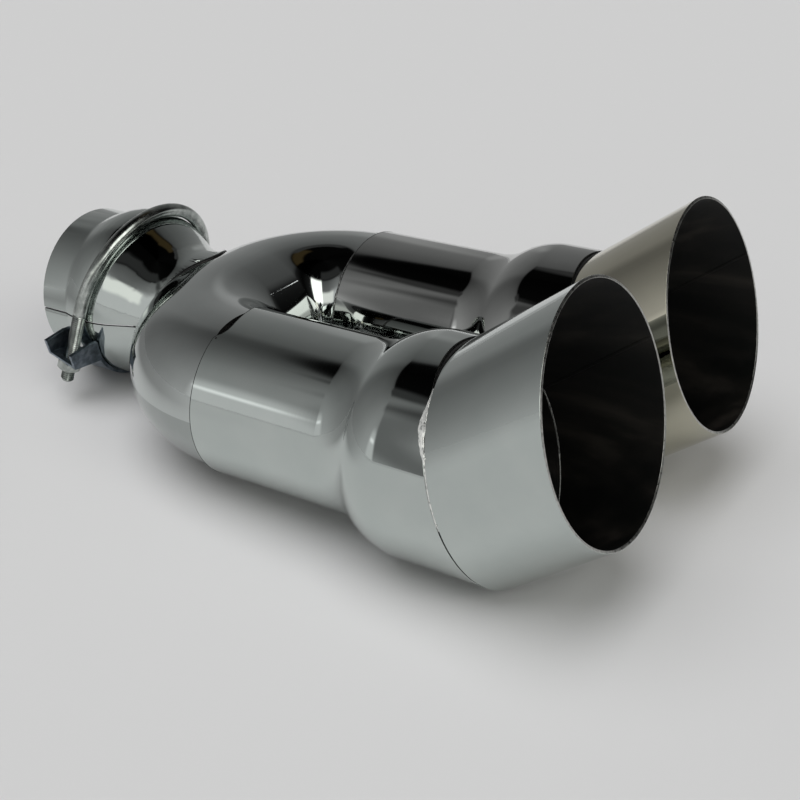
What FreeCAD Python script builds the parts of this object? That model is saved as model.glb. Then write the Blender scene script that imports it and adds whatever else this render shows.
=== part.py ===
import FreeCAD, Part
import os
import math

# Twin exhaust tip: one inlet with a clamp, a two-piece bend and two slanted outlets.
# Millimetres. X runs from the inlet mouth toward the outlets, Z is up.
# The origin is the centre of the inlet mouth.

V = FreeCAD.Vector
X_AXIS = V(1, 0, 0)
Y_AXIS = V(0, 1, 0)
Z_AXIS = V(0, 0, 1)

# Overall placing
INLET_LENGTH = 134.5
INLET_RISE = 4.2
OUTLET_SPACING = 103.2
HALF_SPACING = OUTLET_SPACING / 2
FAR_SHIFT = 5.8

# Outlet sleeves and their flares
SLEEVE_RADIUS = 34.925
SLEEVE_WALL = 1.2
FLARE_START = 54.0
FLARE_END = 93.0
TIP_RADIUS = 44.45
TIP_WALL = 1.2
SEAM_X = 118.0
FAR_SEAM_X = 118.6

# Slanted tips
TIP_ANGLE = 36.2
MITRE_ANGLE = TIP_ANGLE / 2
MOUTH_ANGLE = 15.0
TIP_LENGTH = 52.6
FAR_TIP_LENGTH = 49.4

# Stamped bend
BEND_RADIUS = 33.6
BEND_WALL = 1.5
BEND_BACK = 45.3
BEND_LEG = 20.0

# Inlet tube
INLET_WALL = 1.2
MOUTH_RADIUS = 36.3
MOUTH_LENGTH = 14.0
BULGE_SWELL = 2.9
BULGE_RADIUS = MOUTH_RADIUS + BULGE_SWELL
BULGE_AT = 31.0
BULGE_RISE = 1.6
NECK_RADIUS = 31.0
NECK_LENGTH = 23.2
SLIT_WIDTH = 0.8
SLIT_STOP = 1.6

# Clamp
ROD_RADIUS = 3.0
ROD_CLEARANCE = 0.2
CLAMP_RADIUS = BULGE_RADIUS + ROD_CLEARANCE + ROD_RADIUS
CLAMP_AT = 29.1
CLAMP_X = CLAMP_AT - INLET_LENGTH
CLAMP_DROP = 0.2
CLAMP_Z = INLET_RISE + BULGE_RISE - CLAMP_DROP
CLAMP_LEAN = 17.4
CLAMP_ROLL = 6.6
SADDLE_WIDTH = 17.0
SADDLE_PLATE = 1.6
EAR_REACH = 10.6
SADDLE_REACH = CLAMP_RADIUS + EAR_REACH
SADDLE_TAPER = 5.0
CRADLE_CLEARANCE = 0.3
CRADLE_RADIUS = BULGE_RADIUS + CRADLE_CLEARANCE
CRADLE_Z = INLET_RISE + BULGE_RISE
CRADLE_DEPTH = 16.1
EAR_DROP = CRADLE_RADIUS - CRADLE_DEPTH
WALL_HEIGHT = 10.0
WALL_SLOPE = 3.0
NUT_FLATS = 10.0
NUT_HEIGHT = 5.0
NUT_CLEARANCE = 0.05
HOLE_CLEARANCE = 0.6
LEG_END = 6.5
LEG_LENGTH = EAR_DROP + SADDLE_PLATE + NUT_HEIGHT + LEG_END
LEG_CHAMFER = 0.6

# Weld beads and the seam inside each tip
NECK_BEAD = 1.2
TIP_BEAD_WIDTH = 2.2
TIP_BEAD_HEIGHT = 0.5
SLEEVE_BEAD = 1.3
SLEEVE_BEAD_SWEEP = 130.0
RIDGE_RADIUS = 0.8
RIDGE_SINK = 0.4
RIDGE_ANGLE = 16.0

# Gap left at the near sleeve's rear edge
NOTCH_DEPTH = 2.0
NOTCH_CHORD = 17.0
NOTCH_ANGLE = 100.0

MOVE = V(INLET_LENGTH, 0, -INLET_RISE)
BIG = 400.0


def export(shape, name):
    solid = shape.copy()
    solid.translate(MOVE)
    solid.exportStep("parts/" + name + ".step")


def cylinder(radius, length, start, direction):
    return Part.makeCylinder(radius, length, start, direction)


def half_space(point, normal):
    """A large block whose one face lies on the plane and which fills the normal's side."""
    block = Part.makeBox(BIG, BIG, BIG, V(-BIG / 2, -BIG / 2, 0))
    turn = FreeCAD.Rotation(Z_AXIS, normal)
    block.Placement = FreeCAD.Placement(point, turn).multiply(block.Placement)
    return block


def arc_edge(centre, radius, start_deg, end_deg):
    """An arc in the XZ plane through three points, at angles measured from +X toward +Z."""
    pts = []
    for deg in (start_deg, (start_deg + end_deg) / 2, end_deg):
        a = math.radians(deg)
        pts.append(V(centre[0] + radius * math.cos(a), 0, centre[1] + radius * math.sin(a)))
    return Part.Arc(pts[0], pts[1], pts[2]).toShape()


def line_edge(start, end):
    return Part.makeLine(V(start[0], 0, start[1]), V(end[0], 0, end[1]))


def revolve_ring(outer, inner):
    """Revolves the band between two edge chains about the X axis."""
    first = outer[0].Vertexes[0].Point
    last = outer[-1].Vertexes[-1].Point
    inner_first = inner[0].Vertexes[0].Point
    inner_last = inner[-1].Vertexes[-1].Point
    edges = list(outer)
    edges.append(Part.makeLine(last, inner_last))
    edges.extend(inner)
    edges.append(Part.makeLine(inner_first, first))
    wire = Part.Wire(Part.__sortEdges__(edges))
    return Part.Face(wire).revolve(V(0, 0, 0), X_AXIS, 360)


def flare_edges(start, shift, end, offset):
    """Edges of the sleeve's profile: straight, two tangent arcs, straight."""
    rise = TIP_RADIUS - SLEEVE_RADIUS
    run = FLARE_END - FLARE_START
    radius = (run * run + rise * rise) / (4 * rise)
    swing = math.degrees(math.asin(run / 2 / radius))
    low = SLEEVE_RADIUS - offset
    high = TIP_RADIUS - offset
    a = FLARE_START + shift
    b = FLARE_END + shift
    first_centre = (a, SLEEVE_RADIUS + radius)
    second_centre = (b, TIP_RADIUS - radius)
    return [
        line_edge((start, low), (a, low)),
        arc_edge(first_centre, radius + offset, -90, -90 + swing),
        arc_edge(second_centre, radius - offset, 90 + swing, 90),
        line_edge((b, high), (end, high)),
    ]


def sleeve(start, shift, seam_x, side):
    end = seam_x + TIP_RADIUS
    outer = flare_edges(start, shift, end, 0.0)
    inner = flare_edges(start, shift, end, SLEEVE_WALL)
    body = revolve_ring(outer, inner)
    mitre = math.radians(MITRE_ANGLE)
    normal = V(math.cos(mitre), 0, math.sin(mitre))
    body = body.cut(half_space(V(seam_x, 0, 0), normal))
    body.translate(V(0, side * HALF_SPACING, 0))
    return body


def tip(seam_x, length, side):
    slope = math.radians(TIP_ANGLE)
    axis = V(math.cos(slope), 0, math.sin(slope))
    start = V(seam_x, 0, 0) - axis * TIP_RADIUS
    total = length + 3 * TIP_RADIUS
    bore = TIP_RADIUS - TIP_WALL
    body = cylinder(TIP_RADIUS, total, start, axis)
    body = body.cut(cylinder(bore, total, start, axis))
    lift = math.radians(RIDGE_ANGLE)
    across = V(-math.sin(slope), 0, math.cos(slope)) * math.sin(lift) + Y_AXIS * math.cos(lift)
    ridge = cylinder(RIDGE_RADIUS, total, start + across * (bore + RIDGE_SINK), axis)
    body = body.fuse(ridge.common(cylinder(bore + TIP_WALL / 2, total, start, axis)))
    mitre = math.radians(MITRE_ANGLE)
    body = body.cut(half_space(V(seam_x, 0, 0), V(-math.cos(mitre), 0, -math.sin(mitre))))
    mouth = math.radians(MOUTH_ANGLE)
    centre = V(seam_x, 0, 0) + axis * length
    body = body.cut(half_space(centre, V(math.cos(mouth), 0, math.sin(mouth))))
    body.translate(V(0, side * HALF_SPACING, 0))
    return body


def tip_bead(seam_x, side):
    """A low bead around the mitre between a sleeve and its tip."""
    slope = math.radians(TIP_ANGLE)
    mitre = math.radians(MITRE_ANGLE)
    normal = V(math.cos(mitre), 0, math.sin(mitre))
    seam = V(seam_x, 0, 0)
    tip_axis = V(math.cos(slope), 0, math.sin(slope))
    before = half_space(seam - normal * TIP_BEAD_WIDTH / 2, normal).cut(half_space(seam, normal))
    after = half_space(seam, normal).cut(half_space(seam + normal * TIP_BEAD_WIDTH / 2, normal))
    halves = []
    for axis, slab in ((X_AXIS, before), (tip_axis, after)):
        root = seam - axis * TIP_RADIUS
        outer = cylinder(TIP_RADIUS + TIP_BEAD_HEIGHT, 2 * TIP_RADIUS, root, axis)
        inner = cylinder(TIP_RADIUS, 2 * TIP_RADIUS, root, axis)
        halves.append(outer.cut(inner).common(slab))
    body = halves[0].fuse(halves[1])
    body.translate(V(0, side * HALF_SPACING, 0))
    return body


def notch(side):
    """A shallow scallop that leaves a gap at the top of a sleeve's rear edge."""
    radius = (NOTCH_CHORD ** 2 / 4 + NOTCH_DEPTH ** 2) / (2 * NOTCH_DEPTH)
    cutter = cylinder(radius, BIG / 4, V(NOTCH_DEPTH - radius, 0, 0), Z_AXIS)
    cutter.rotate(V(0, 0, 0), X_AXIS, NOTCH_ANGLE - 90)
    cutter.translate(V(0, side * HALF_SPACING, 0))
    return cutter


def bend_solid(radius):
    """The U-shaped bend as a solid rod: two legs, two quarter turns, a straight back."""
    near_turn = BEND_BACK
    far_turn = BEND_BACK - FAR_SHIFT
    near_centre = -(HALF_SPACING - near_turn)
    far_centre = HALF_SPACING - far_turn
    near_leg = cylinder(radius, BEND_LEG, V(0, -HALF_SPACING, 0), X_AXIS)
    far_leg = cylinder(radius, BEND_LEG + FAR_SHIFT, V(-FAR_SHIFT, HALF_SPACING, 0), X_AXIS)
    back = cylinder(radius, far_centre - near_centre, V(-BEND_BACK, near_centre, 0), Y_AXIS)
    near = Part.makeTorus(near_turn, radius, V(0, 0, 0), Z_AXIS, 0, 360, 90)
    near.rotate(V(0, 0, 0), Z_AXIS, 180)
    near.translate(V(0, near_centre, 0))
    far = Part.makeTorus(far_turn, radius, V(0, 0, 0), Z_AXIS, 0, 360, 90)
    far.rotate(V(0, 0, 0), Z_AXIS, 90)
    far.translate(V(-FAR_SHIFT, far_centre, 0))
    return near_leg.fuse([near, back, far, far_leg]).removeSplitter()


def inlet_solid(offset):
    """The inlet as a solid: straight mouth, bulge, rounded shoulder and neck."""
    start = -INLET_LENGTH
    neck_start = -BEND_BACK - NECK_LENGTH
    narrowing = neck_start - start - BULGE_AT
    stations = [
        (MOUTH_LENGTH, MOUTH_RADIUS, 0.0),
        (0.5 * (MOUTH_LENGTH + BULGE_AT), 0.25 * MOUTH_RADIUS + 0.75 * BULGE_RADIUS, 0.6 * BULGE_RISE),
        (BULGE_AT, BULGE_RADIUS, BULGE_RISE),
        (BULGE_AT + 0.27 * narrowing, 0.2 * NECK_RADIUS + 0.8 * BULGE_RADIUS, 0.5 * BULGE_RISE),
        (BULGE_AT + 0.5 * narrowing, 0.6 * NECK_RADIUS + 0.4 * BULGE_RADIUS, -0.3 * INLET_RISE),
        (BULGE_AT + 0.75 * narrowing, 0.92 * NECK_RADIUS + 0.08 * BULGE_RADIUS, -0.8 * INLET_RISE),
        (BULGE_AT + narrowing, NECK_RADIUS, -INLET_RISE),
    ]
    rings = []
    for along, radius, rise in stations:
        centre = V(start + along, 0, INLET_RISE + rise)
        rings.append(Part.Wire(Part.makeCircle(radius - offset, centre, X_AXIS)))
    middle = Part.makeLoft(rings, True, False)
    mouth = cylinder(MOUTH_RADIUS - offset, MOUTH_LENGTH, V(start, 0, INLET_RISE), X_AXIS)
    neck = cylinder(NECK_RADIUS - offset, NECK_LENGTH, V(neck_start, 0, 0), X_AXIS)
    return middle.fuse([mouth, neck])


def slit(side, turn, shift):
    """A sawn slit in one side of the inlet that stops just short of the bend."""
    centre_y = HALF_SPACING - turn
    reach = math.sqrt((turn + BEND_RADIUS) ** 2 - (NECK_RADIUS - centre_y) ** 2)
    length = INLET_LENGTH - reach - shift - SLIT_STOP
    depth = 2 * BULGE_RADIUS
    corner = V(-INLET_LENGTH, min(0, side * depth), INLET_RISE - SLIT_WIDTH / 2)
    return Part.makeBox(length, depth, SLIT_WIDTH, corner)


def neck_bead(outer_bend):
    """A bead in the corner between the inlet and the bend's back."""
    collar = inlet_solid(-NECK_BEAD)
    skin = bend_solid(BEND_RADIUS + NECK_BEAD)
    return collar.common(skin).cut(outer_bend).cut(inlet_solid(0.0))


def sleeve_bead(start, side, outer_bend):
    """A fillet bead on the inner side of a sleeve's rear edge."""
    low = -side * (BEND_RADIUS - SLEEVE_BEAD / 2)
    high = -side * SLEEVE_RADIUS
    corner = -side * (SLEEVE_RADIUS - SLEEVE_BEAD / 2)
    section = Part.makePolygon([
        V(start, low, 0),
        V(start, high, 0),
        V(start - SLEEVE_BEAD / 2, high, 0),
        V(start - SLEEVE_BEAD, corner, 0),
        V(start - SLEEVE_BEAD, low, 0),
        V(start, low, 0),
    ])
    body = Part.Face(section)
    body.rotate(V(0, 0, 0), X_AXIS, -SLEEVE_BEAD_SWEEP / 2)
    body = body.revolve(V(0, 0, 0), X_AXIS, SLEEVE_BEAD_SWEEP)
    body.translate(V(0, side * HALF_SPACING, 0))
    return body.cut(outer_bend)


def clamp_place(shape):
    """Turns a shape drawn with X along the tube and -Z along the clamp's legs into place."""
    out = shape.copy()
    out.rotate(V(0, 0, 0), X_AXIS, -CLAMP_ROLL)
    out.rotate(V(0, 0, 0), Y_AXIS, CLAMP_LEAN)
    out.translate(V(CLAMP_X, 0, CLAMP_Z))
    return out


def u_bolt():
    arch = Part.makeTorus(CLAMP_RADIUS, ROD_RADIUS, V(0, 0, 0), Z_AXIS, 0, 360, 180)
    arch.rotate(V(0, 0, 0), X_AXIS, 90)
    arch.rotate(V(0, 0, 0), Z_AXIS, 90)
    parts = [arch]
    for side in (-1, 1):
        leg = cylinder(ROD_RADIUS, LEG_LENGTH, V(0, side * CLAMP_RADIUS, -LEG_LENGTH), Z_AXIS)
        end = [e for e in leg.Edges if e.BoundBox.ZMax < -LEG_LENGTH + 0.01]
        parts.append(leg.makeChamfer(LEG_CHAMFER, end[:1]))
    return parts[0].fuse(parts[1:])


def saddle():
    """A pressed channel with an ear under each leg and a dish that cradles the tube."""
    half = SADDLE_WIDTH / 2
    bottom = -EAR_DROP - SADDLE_PLATE
    inner_reach = SADDLE_REACH - SADDLE_TAPER
    outline = [
        V(-half, -inner_reach, bottom),
        V(-half, -SADDLE_REACH, -EAR_DROP + WALL_HEIGHT - WALL_SLOPE),
        V(-half, -CLAMP_RADIUS, -EAR_DROP + WALL_HEIGHT),
        V(-half, CLAMP_RADIUS, -EAR_DROP + WALL_HEIGHT),
        V(-half, SADDLE_REACH, -EAR_DROP + WALL_HEIGHT - WALL_SLOPE),
        V(-half, inner_reach, bottom),
        V(-half, -inner_reach, bottom),
    ]
    channel = Part.Face(Part.makePolygon(outline)).extrude(V(SADDLE_WIDTH, 0, 0))
    inside = SADDLE_WIDTH - 2 * SADDLE_PLATE
    pocket = Part.makeBox(inside, 4 * SADDLE_REACH, BIG, V(-inside / 2, -2 * SADDLE_REACH, -EAR_DROP))
    channel = channel.cut(pocket)
    for side in (-1, 1):
        foot = V(0, side * CLAMP_RADIUS, -2 * EAR_DROP)
        channel = channel.cut(cylinder(ROD_RADIUS + HOLE_CLEARANCE, 2 * EAR_DROP, foot, Z_AXIS))
    corner = V(-half, -inner_reach, -EAR_DROP - BIG / 4)
    below = Part.makeBox(SADDLE_WIDTH, 2 * inner_reach, BIG / 4, corner)

    root = V(CLAMP_X - BIG / 8, 0, CRADLE_Z)
    tube_room = cylinder(CRADLE_RADIUS, BIG / 4, root, X_AXIS)
    dish = cylinder(CRADLE_RADIUS + SADDLE_PLATE, BIG / 4, root, X_AXIS).common(clamp_place(below))
    return clamp_place(channel).fuse(dish).cut(tube_room).removeSplitter()


def nut(side):
    across = NUT_FLATS / math.sqrt(3)
    pts = []
    for k in range(7):
        a = math.radians(60 * k)
        pts.append(V(across * math.cos(a), across * math.sin(a), 0))
    body = Part.Face(Part.makePolygon(pts)).extrude(V(0, 0, -NUT_HEIGHT))
    body = body.cut(cylinder(ROD_RADIUS + NUT_CLEARANCE, NUT_HEIGHT, V(0, 0, -NUT_HEIGHT), Z_AXIS))
    body.translate(V(0, side * CLAMP_RADIUS, -EAR_DROP - SADDLE_PLATE))
    return body


def main():
    os.makedirs("parts", exist_ok=True)

    outer_bend = bend_solid(BEND_RADIUS)
    bend = outer_bend.cut(bend_solid(BEND_RADIUS - BEND_WALL))
    passage = cylinder(NECK_RADIUS - INLET_WALL, BIG / 4, V(-BEND_BACK - BIG / 4, 0, 0), X_AXIS)
    bend = bend.cut(passage)
    export(bend.cut(half_space(V(0, 0, 0), V(0, 0, -1))), "upper_bend_shell")
    export(bend.cut(half_space(V(0, 0, 0), V(0, 0, 1))), "lower_bend_shell")

    inlet = inlet_solid(0.0).cut(inlet_solid(INLET_WALL)).cut(outer_bend)
    inlet = inlet.cut(slit(-1, BEND_BACK, 0.0)).cut(slit(1, BEND_BACK - FAR_SHIFT, FAR_SHIFT))
    export(inlet, "inlet_tube")
    export(neck_bead(outer_bend), "inlet_weld")

    layout = [
        ("near", -1, 0.0, SEAM_X, TIP_LENGTH),
        ("far", 1, -FAR_SHIFT, FAR_SEAM_X, FAR_TIP_LENGTH),
    ]
    for name, side, start, seam_x, length in layout:
        body = sleeve(start, start, seam_x, side)
        if name == "near":
            body = body.cut(notch(side))
        mouth = tip(seam_x, length, side)
        export(body, name + "_sleeve")
        export(mouth, name + "_tip")
        export(tip_bead(seam_x, side), name + "_tip_weld")
        export(sleeve_bead(start, side, outer_bend), name + "_sleeve_weld")

    export(clamp_place(u_bolt()), "u_bolt")
    export(saddle(), "clamp_saddle")
    export(clamp_place(nut(-1)), "near_nut")
    export(clamp_place(nut(1)), "far_nut")


main()
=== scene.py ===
import math
import random

import bpy
from mathutils import Matrix, Vector, noise


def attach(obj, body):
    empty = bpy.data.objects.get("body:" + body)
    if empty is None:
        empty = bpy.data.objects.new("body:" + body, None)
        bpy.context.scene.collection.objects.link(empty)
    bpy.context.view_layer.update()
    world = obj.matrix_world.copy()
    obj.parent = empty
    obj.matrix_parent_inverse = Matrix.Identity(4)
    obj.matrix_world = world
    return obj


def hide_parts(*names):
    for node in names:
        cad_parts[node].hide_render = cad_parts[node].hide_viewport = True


# Looks of a twin exhaust tip: polished tubes, a pressed bend, welds and a zinc-plated clamp.
# Metres, in the frame of the model: X from the inlet to the outlets, Z up.

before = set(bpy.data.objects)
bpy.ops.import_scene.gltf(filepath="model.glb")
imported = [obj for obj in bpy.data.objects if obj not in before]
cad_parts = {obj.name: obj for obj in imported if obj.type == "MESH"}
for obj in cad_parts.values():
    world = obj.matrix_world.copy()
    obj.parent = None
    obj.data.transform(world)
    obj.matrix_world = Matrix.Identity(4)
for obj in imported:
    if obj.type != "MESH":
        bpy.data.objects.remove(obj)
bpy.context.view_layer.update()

MM = 0.001
SEED = 7

# The sleeves' own frame: X = 0 at the near sleeve's rear edge, Y = 0 midway, Z = 0 on the sleeves' axes
INLET_LENGTH = 134.5 * MM
INLET_RISE = 4.2 * MM
SHIFT = Vector((INLET_LENGTH, 0, -INLET_RISE))
HALF_SPACING = 51.6 * MM
FAR_SHIFT = 5.8 * MM

# Outlet sleeves: a tube that widens through two tangent arcs
SLEEVE_RADIUS = 34.925 * MM
SLEEVE_WALL = 1.2 * MM
REAR_STRAIGHT = 8 * MM
REAR_EDGE = 1 * MM
FLARE_START = 59.5 * MM
FLARE_END = 92 * MM

# Tips: slash-cut at the mouth, with the tube's own seam as a low ridge in the bore
TIP_RADIUS = 44.45 * MM
TIP_WALL = 1.2 * MM
TIP_ANGLE = math.radians(36.2)
TIP_LENGTH = 52.6 * MM
FAR_TIP_LENGTH = 49.4 * MM
MOUTH_ANGLE = math.radians(15)
RIDGE_RADIUS = 0.8 * MM
RIDGE_SINK = 0.4 * MM
RIDGE_ANGLE = math.radians(16)

# Mitres between sleeves and tips, open a little on top between two angles from +Y toward +Z
SEAM_X = 118 * MM
FAR_SEAM_X = 118.6 * MM
MITRE_ANGLE = TIP_ANGLE / 2
MITRE = Vector((math.cos(MITRE_ANGLE), 0, math.sin(MITRE_ANGLE)))
SEAM_GAP = 0.6 * MM
SEAM_BAND = 2 * MM
OPEN_SEAM = 2.0 * MM
OPEN_SEAM_FROM = math.radians(60)
OPEN_SEAM_TO = math.radians(124)

# Bend: two turns and the straight between them, opened at the back for the inlet's neck
BEND_RADIUS = 33.6 * MM
BEND_WALL = 1.5 * MM
BEND_BACK = 45.3 * MM
BEND_LEG = 20 * MM
NEAR_TURN = BEND_BACK
FAR_TURN = BEND_BACK - FAR_SHIFT
NEAR_CENTRE = NEAR_TURN - HALF_SPACING
FAR_CENTRE = HALF_SPACING - FAR_TURN
NECK_CUT = 60 * MM

# The gap in the weld at the top of the near sleeve's rear edge, as degrees around and width in
# millimetres, the share of that width by which it reaches back behind the edge, and the pit beside it,
# a dark ball whose colour paints the pit's shade
GAP_WIDTHS = [(77, 0), (83, 1.2), (89, 2.1), (98, 3.1), (106, 3.7), (111, 3.5), (115, 2.2), (118, 0)]
GAP_BACK = 0.25
GAP_DEPTH = 6 * MM
PIT_ANGLE = math.radians(119)
PIT_PLACE = 1.3 * MM
PIT_RADIUS = 0.6 * MM

# Inlet and its weld
NECK_RADIUS = 31 * MM
INLET_WALL = 1.2 * MM
MOUTH_RIM = 0.05 * MM
BORE_FACING = 0.2
NECK_CORNER = 0.3 * MM
NECK_BEAD = 1.1 * MM
NECK_LIFT = 0.45 * MM
NECK_LUMP = 8 * MM
TOE_WIDTH = 1.0 * MM

# The weld on each mitre, by degrees around the tube from +Y toward the top: how far it stands up,
# from 0 sunk in the seam to 1 a full lump, its half width in millimetres, and how far it runs onto the
# tip, or with a minus onto the sleeve
NEAR_TIP_WELD = [(0, 0.2, 0.6, 0), (56, 0.15, 0.6, 0), (60, 0, 0.5, 0), (121, 0, 0.5, 0),
                 (126, 0.3, 0.5, -0.1), (132, 0.7, 1.1, -0.8), (139, 1.0, 2.4, -2.1), (147, 0.9, 2.2, -1.9),
                 (153, 0.7, 0.9, -0.5), (158, 0.4, 0.5, 0), (178, 0.35, 0.5, 0), (184, 0.3, 0.45, 0),
                 (187, 0, 0.5, 0), (240, 0, 0.5, 0), (250, 0.3, 0.8, 0), (300, 0.5, 1.0, 0),
                 (360, 0.2, 0.6, 0)]
FAR_TIP_WELD = [(0, 0.5, 1.0, 0), (40, 0.4, 0.8, 0), (56, 0.1, 0.5, 0), (60, 0, 0.5, 0), (126, 0, 0.5, 0),
                (140, 0.25, 0.7, 0), (215, 0.2, 0.6, 0), (300, 0.3, 0.8, 0), (360, 0.5, 1.0, 0)]
# Below this rise the weld is dark root, whose colour paints the shade in the seam's gap
WELD_SHOWS = 0.05
# A bead's thickness and crown in millimetres: a base, what the rise adds, and what unevenness adds to that
TIP_BEAD_HEIGHT = (0.5, 0.3, 0.25)
TIP_BEAD_CROWN = (-0.3, 0.8, 0.2)
TIP_BEAD_WAVER = 0.4
# Balls of spatter beside a mitre's weld: degrees around, millimetres onto the tip, radius in millimetres
NEAR_TIP_SPATTER = [(134.5, -3.6, 0.4), (154.5, 0.4, 0.55), (183.5, 0.2, 0.42), (144, -5.2, 0.3),
                    (149, -4.8, 0.25)]
FAR_TIP_SPATTER = [(128, -1.2, 0.3), (150, -1.5, 0.25)]
SPATTER_LIFT = 0.1 * MM

# The weld on the inner side of each sleeve's rear edge, its dark root all around, which also paints the
# shade in the corner under the edge, and its spatter by share of the sweep, millimetres onto the bend and
# radius in millimetres
SLEEVE_BEAD_SWEEP = math.radians(130)
SLEEVE_BEAD_SINK = 0.75 * MM
SLEEVE_BEAD_BACK = 0.45 * MM
SLEEVE_BEAD_SIZE = (0.35, 0.45, 0.35)
SLEEVE_BEAD_TAPER = 8
ROOT_RADIUS = 0.17 * MM
ROOT_SINK = 0.1 * MM
SPATTER_COUNT = 9
SPATTER_SPREAD = (0.08, 0.92)
SPATTER_REACH = (1.2, 3.4)
SPATTER_RADIUS = (0.25, 0.55)

# Sizes of the large and small lumps in the beads, and the share of the large ones
TIP_LUMPS = (2.2 * MM, 0.9 * MM)
SLEEVE_LUMPS = (2.5 * MM, 1 * MM)
LARGE_SHARE = 0.6

# Clamp, drawn with X along the tube and -Z along its legs
ROD_RADIUS = 3.0 * MM
CLAMP_RADIUS = 42.4 * MM
CLAMP_CENTRE = Vector((-105.4, 0, 5.6)) * MM + SHIFT
CLAMP_LEAN = math.radians(17.4)
CLAMP_ROLL = math.radians(6.6)
EAR_DROP = 23.4 * MM
SADDLE_PLATE = 1.6 * MM
SADDLE_BEVEL = 0.3 * MM
NUT_FLATS = 10 * MM
NUT_HEIGHT = 5 * MM
NUT_CHAMFER = 0.9 * MM
NUT_BEVEL = 0.12 * MM
NUT_CLEARANCE = 0.02 * MM
LEG_LENGTH = 36.5 * MM
LEG_CHAMFER = 0.6 * MM
THREAD_PITCH = 1.0 * MM
THREAD_DEPTH = 0.5 * MM
THREAD_FLANK = 1.35
THREAD_TOP = 1.5 * MM
THREAD_FADE = 1.5 * MM

# Mesh fineness
RING_SEGMENTS = 160
FLARE_STEPS = 14
TIP_STEPS = 12
TURN_STEPS = 44
ROD_SEGMENTS = 40
ARCH_STEPS = 90
STEPS_PER_PITCH = 8
BEAD_STEPS = 420
BEAD_SIDES = 12
CUT_SEGMENTS = 96
HOLE_SEGMENTS = 48
GAP_POINTS = 40
EDGE_BEVEL = 0.2 * MM
SEAM_BEVEL = 0.32 * MM
MERGE = 0.001 * MM
SAME_PLANE = 0.01 * MM

# Grain of the materials. Buffing lines are far finer than this pitch, and are drawn that coarse so that
# they show at all
CLOUD_SIZE = 18 * MM
RIPPLE_SIZE = 26 * MM
BUFF_PITCH = 0.9 * MM
BUFF_LENGTH = 71.4 * MM
STREAK_LENGTH = 111 * MM
STREAK_WIDTH = 11.1 * MM
SOOT_GRAIN = 1.2 * MM
SAWN_GRAIN = 1.5 * MM
WELD_GRAIN = 1.4 * MM
OXIDE_GRAIN = 1.0 * MM
ROD_MOTTLE = 5 * MM
PLATE_MOTTLE = 4 * MM

# Floor: the part lies on its flares and on the far leg's end of the clamp
FLARE_CONTACT = Vector((225.5, 0, -48.7)) * MM
LEG_CONTACT = Vector((20, 0, -38.6)) * MM
FLOOR_SIZE = 40.0
# Its two patches of painted shade, the near one measured past an edge and the far one from a pivot,
# in metres, and how much of each lies at a heading in degrees from +X toward +Y
SHADE_EDGE = Vector((-57, 0, 0)) * MM
SHADE_SIDE = Vector((-0.629, -0.777, 0))
SHADE_START = 5 * MM
SHADE_END = 190 * MM
SHADE_PIVOT = SHIFT + Vector((30, -55, 0)) * MM
FAR_FADE_START = 1.45
FAR_FADE_END = 2.2
SHADE_STOPS = [(0, 0, 0.2), (30, 0, 0.35), (60, 0, 0.5), (132, 0, 0.5), (146, 0.2, 0.5), (158, 0.75, 0.5),
               (166, 0.95, 0.5), (180, 0.9, 0.35), (192, 0.75, 0.25), (204, 0.6, 0.2), (216, 0.35, 0.2),
               (228, 0.1, 0.2), (240, 0, 0.2)]

# Camera, fitted to the outlines of the sleeves and openings
CAMERA_YAW = math.radians(34.086)
CAMERA_PITCH = math.radians(26.453)
CAMERA_ROLL = math.radians(-1.625)
CAMERA_LOOK = Vector((58.615, -26.506, 0)) * MM + SHIFT
CAMERA_DISTANCE = 526.061 * MM
CAMERA_LENS = 58.88
SENSOR_WIDTH = 36.0


def linear(hex_colour, level=1.0):
    """An sRGB hex colour as linear RGBA, times a light level."""
    out = []
    for k in (1, 3, 5):
        c = int(hex_colour[k:k + 2], 16) / 255
        c = c / 12.92 if c <= 0.04045 else ((c + 0.055) / 1.055) ** 2.4
        out.append(c * level)
    return (*out, 1.0)


def add_node(tree, kind, inputs=None, **settings):
    """Adds a node with its settings; an input given as a socket is linked, any other is set."""
    node = tree.nodes.new(kind)
    for name, value in settings.items():
        setattr(node, name, value)
    for name, value in (inputs or {}).items():
        if isinstance(value, bpy.types.NodeSocket):
            tree.links.new(value, node.inputs[name])
        else:
            node.inputs[name].default_value = value
    return node


def set_stops(ramp, stops):
    """Gives a colour ramp its stops, each a place and a linear colour."""
    elements = ramp.color_ramp.elements
    while len(elements) > 1:
        elements.remove(elements[-1])
    elements[0].position = stops[0][0]
    elements[0].color = stops[0][1]
    for place, colour in stops[1:]:
        elements.new(place).color = colour


# Materials


def new_material(name, metallic):
    material = bpy.data.materials.new(name)
    material.use_nodes = True
    tree = material.node_tree
    tree.nodes.clear()
    shader = add_node(tree, "ShaderNodeBsdfPrincipled", {"Metallic": metallic})
    add_node(tree, "ShaderNodeOutputMaterial", {"Surface": shader.outputs["BSDF"]})
    coords = add_node(tree, "ShaderNodeTexCoord")
    return material, tree, shader, coords.outputs["Object"]


def colour_and_haze(tree, shader, pattern, stops, haze):
    """Lets a pattern choose the colour, through its stops, and the roughness, between two values."""
    colour = add_node(tree, "ShaderNodeValToRGB", {"Fac": pattern})
    set_stops(colour, [(place, linear(shade)) for place, shade in stops])
    tree.links.new(colour.outputs["Color"], shader.inputs["Base Color"])
    rough = add_node(tree, "ShaderNodeMapRange", {"Value": pattern, "To Min": haze[0], "To Max": haze[1]})
    tree.links.new(rough.outputs["Result"], shader.inputs["Roughness"])


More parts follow.
